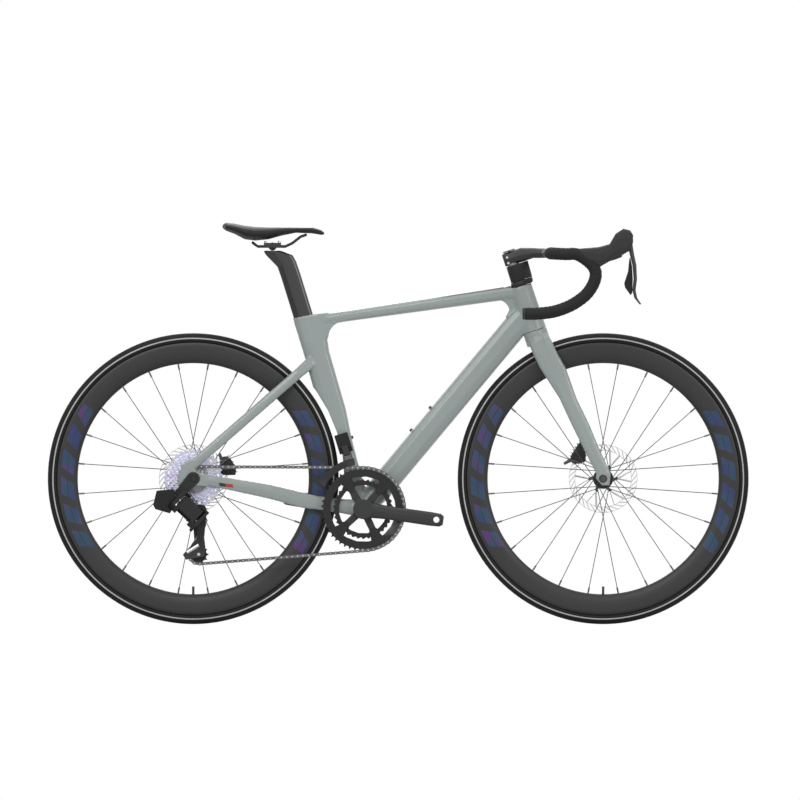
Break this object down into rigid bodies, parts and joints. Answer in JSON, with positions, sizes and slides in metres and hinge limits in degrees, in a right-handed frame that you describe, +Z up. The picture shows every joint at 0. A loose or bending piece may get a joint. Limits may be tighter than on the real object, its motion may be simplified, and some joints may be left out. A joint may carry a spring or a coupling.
{
  "type": "road bike",
  "caption": "Road bike with a monocoque frame, deep rims, disc brakes, drop bar and a two by twelve electronic drivetrain.",
  "frame": {"origin": "on the ground, midway between the axles, on the middle plane", "axes": "+X towards the front wheel, +Y to the left side, +Z up"},
  "size_m": [1.633, 0.433, 0.9355],
  "materials": {
    "frame_paint": "gloss",
    "carbon": "satin",
    "rubber": "matte",
    "tape": "matte",
    "black_alloy": "anodised",
    "steel": "brushed",
    "chain_steel": "satin",
    "cog_steel": "satin",
    "dark_plastic": "matte",
    "saddle_cover": "matte"
  },
  "bodies": {
    "root": {"frame": "frame_paint", "bearing_cup_left": "black_alloy", "bearing_cup_right": "black_alloy", "derailleur_hanger": "black_alloy", "rear_thru_axle": "black_alloy", "rear_caliper": "black_alloy", "front_derailleur_body": "dark_plastic", "headset_lower_bearing": "steel", "headset_upper_bearing": "steel", "headset_fixed_cover": "dark_plastic", "chain": "chain_steel", "derailleur_b_knuckle": "dark_plastic", "derailleur_battery": "dark_plastic"},
    "steering": {"fork": "frame_paint", "hose_cover": "dark_plastic", "cockpit": "carbon", "top_cap": "black_alloy", "bar_tape_left": "tape", "bar_tape_right": "tape", "bar_plug_left": "rubber", "bar_plug_right": "rubber", "hood_left": "rubber", "hood_right": "rubber", "lever_pin_left": "steel", "lever_pin_right": "steel", "front_caliper": "black_alloy", "front_thru_axle": "black_alloy"},
    "front_wheel": {"front_tyre": "rubber", "front_rim": "carbon", "front_hub": "black_alloy", "front_rotor": "steel", "front_valve": "black_alloy"},
    "rear_wheel": {"rear_tyre": "rubber", "rear_rim": "carbon", "rear_hub": "black_alloy", "rear_rotor": "steel", "rear_valve": "black_alloy"},
    "freehub": {"cassette": "cog_steel"},
    "crankset": {"crank_arm_right": "carbon", "crank_arm_left": "carbon", "crank_spindle": "steel", "big_chainring": "black_alloy", "small_chainring": "black_alloy"},
    "left_brake": {"brake_lever_left": "carbon"},
    "right_brake": {"brake_lever_right": "carbon"},
    "left_paddle": {"shift_paddle_left": "dark_plastic"},
    "right_paddle": {"shift_paddle_right": "dark_plastic"},
    "post": {"seatpost": "carbon"},
    "clamp": {"saddle_clamp": "black_alloy"},
    "seat": {"saddle_rails": "steel", "saddle": "saddle_cover"},
    "outer_link": {"derailleur_outer_link": "dark_plastic"},
    "inner_link": {"derailleur_inner_link": "dark_plastic"},
    "p_knuckle": {"derailleur_p_knuckle": "dark_plastic"},
    "cage": {"derailleur_cage": "black_alloy"},
    "guide": {"guide_pulley": "dark_plastic"},
    "tension": {"tension_pulley": "dark_plastic"},
    "front_link": {"front_derailleur_link": "dark_plastic"},
    "front_cage": {"front_derailleur_cage": "black_alloy"}
  },
  "joints": [
    {"name": "steer", "type": "hinge", "parent": "root", "child": "steering", "pos_m": [0.31827, 0, 0.68345], "axis": [-0.309, 0, 0.9511], "range_deg": [-60, 60]},
    {"name": "front_wheel_spin", "type": "hinge", "parent": "steering", "child": "front_wheel", "pos_m": [0.4775, 0, 0.339], "axis": [0, 1, 0], "continuous": true},
    {"name": "rear_wheel_spin", "type": "hinge", "parent": "root", "child": "rear_wheel", "pos_m": [-0.4775, 0, 0.339], "axis": [0, 1, 0], "continuous": true},
    {"name": "crank_spin", "type": "hinge", "parent": "root", "child": "crankset", "pos_m": [-0.08182, 0, 0.268], "axis": [0, 1, 0], "continuous": true, "deforming": ["chain"]},
    {"name": "freehub_spin", "type": "hinge", "parent": "root", "child": "freehub", "pos_m": [-0.4775, 0, 0.339], "axis": [0, 1, 0], "continuous": true},
    {"name": "guide_spin", "type": "hinge", "parent": "cage", "child": "guide", "pos_m": [-0.4705, -0.05526, 0.2415], "axis": [0, 1, 0], "continuous": true},
    {"name": "tension_spin", "type": "hinge", "parent": "cage", "child": "tension", "pos_m": [-0.46526, -0.05526, 0.16267], "axis": [0, 1, 0], "continuous": true},
    {"name": "left_brake_squeeze", "type": "hinge", "parent": "steering", "child": "left_brake", "pos_m": [0.53949, 0.2, 0.89115], "axis": [0, 1, 0], "range_deg": [0, 18], "stiffness_Nm_per_rad": 0.6},
    {"name": "left_shift", "type": "hinge", "parent": "left_brake", "child": "left_paddle", "pos_m": [0.54499, 0.1965, 0.81415], "axis": [0, 0, 1], "range_deg": [0, 10], "stiffness_Nm_per_rad": 0.05},
    {"name": "right_brake_squeeze", "type": "hinge", "parent": "steering", "child": "right_brake", "pos_m": [0.53949, -0.2, 0.89115], "axis": [0, 1, 0], "range_deg": [0, 18], "stiffness_Nm_per_rad": 0.6},
    {"name": "right_shift", "type": "hinge", "parent": "right_brake", "child": "right_paddle", "pos_m": [0.54499, -0.1965, 0.81415], "axis": [0, 0, -1], "range_deg": [0, 10], "stiffness_Nm_per_rad": 0.05},
    {"name": "post_height", "type": "slide", "parent": "root", "child": "post", "axis": [-0.2957, 0, 0.9553], "range_m": [-0.04, 0.04]},
    {"name": "saddle_tilt", "type": "hinge", "parent": "post", "child": "clamp", "pos_m": [-0.29293, 0, 0.88], "axis": [0, 1, 0], "range_deg": [-10, 10]},
    {"name": "saddle_reach", "type": "slide", "parent": "clamp", "child": "seat", "axis": [1, 0, 0], "range_m": [-0.01, 0.01]},
    {"name": "rear_shift", "type": "hinge", "parent": "root", "child": "outer_link", "pos_m": [-0.49502, -0.0897, 0.29426], "axis": [0.5992, 0.5, 0.6253], "range_deg": [-14, 41]},
    {"name": "inner_link_turn", "type": "hinge", "parent": "root", "child": "inner_link", "pos_m": [-0.49917, -0.0793, 0.28993], "axis": [0.5992, 0.5, 0.6253], "range_deg": [-14, 41]},
    {"name": "knuckle_turn", "type": "hinge", "parent": "outer_link", "child": "p_knuckle", "pos_m": [-0.45892, -0.0897, 0.25967], "axis": [0.5992, 0.5, 0.6253], "range_deg": [-41, 14]},
    {"name": "cage_swing", "type": "hinge", "parent": "p_knuckle", "child": "cage", "pos_m": [-0.4618, -0.05526, 0.262], "axis": [0, 1, 0], "range_deg": [-20, 42]},
    {"name": "front_shift", "type": "hinge", "parent": "root", "child": "front_link", "pos_m": [-0.12486, -0.0322, 0.41379], "axis": [0.9553, 0, 0.2957], "range_deg": [-20, 0]},
    {"name": "front_cage_turn", "type": "hinge", "parent": "front_link", "child": "front_cage", "pos_m": [-0.1193, -0.03904, 0.39584], "axis": [0.9553, 0, 0.2957], "range_deg": [0, 20]}
  ],
  "couplings": [
    {"joint": "freehub_spin", "follows": "crank_spin", "ratio": 3.4286},
    {"joint": "guide_spin", "follows": "crank_spin", "ratio": -4.3636},
    {"joint": "tension_spin", "follows": "crank_spin", "ratio": 4.3636},
    {"joint": "inner_link_turn", "follows": "rear_shift", "ratio": 1},
    {"joint": "knuckle_turn", "follows": "rear_shift", "ratio": -1},
    {"joint": "front_cage_turn", "follows": "front_shift", "ratio": -1}
  ]
}
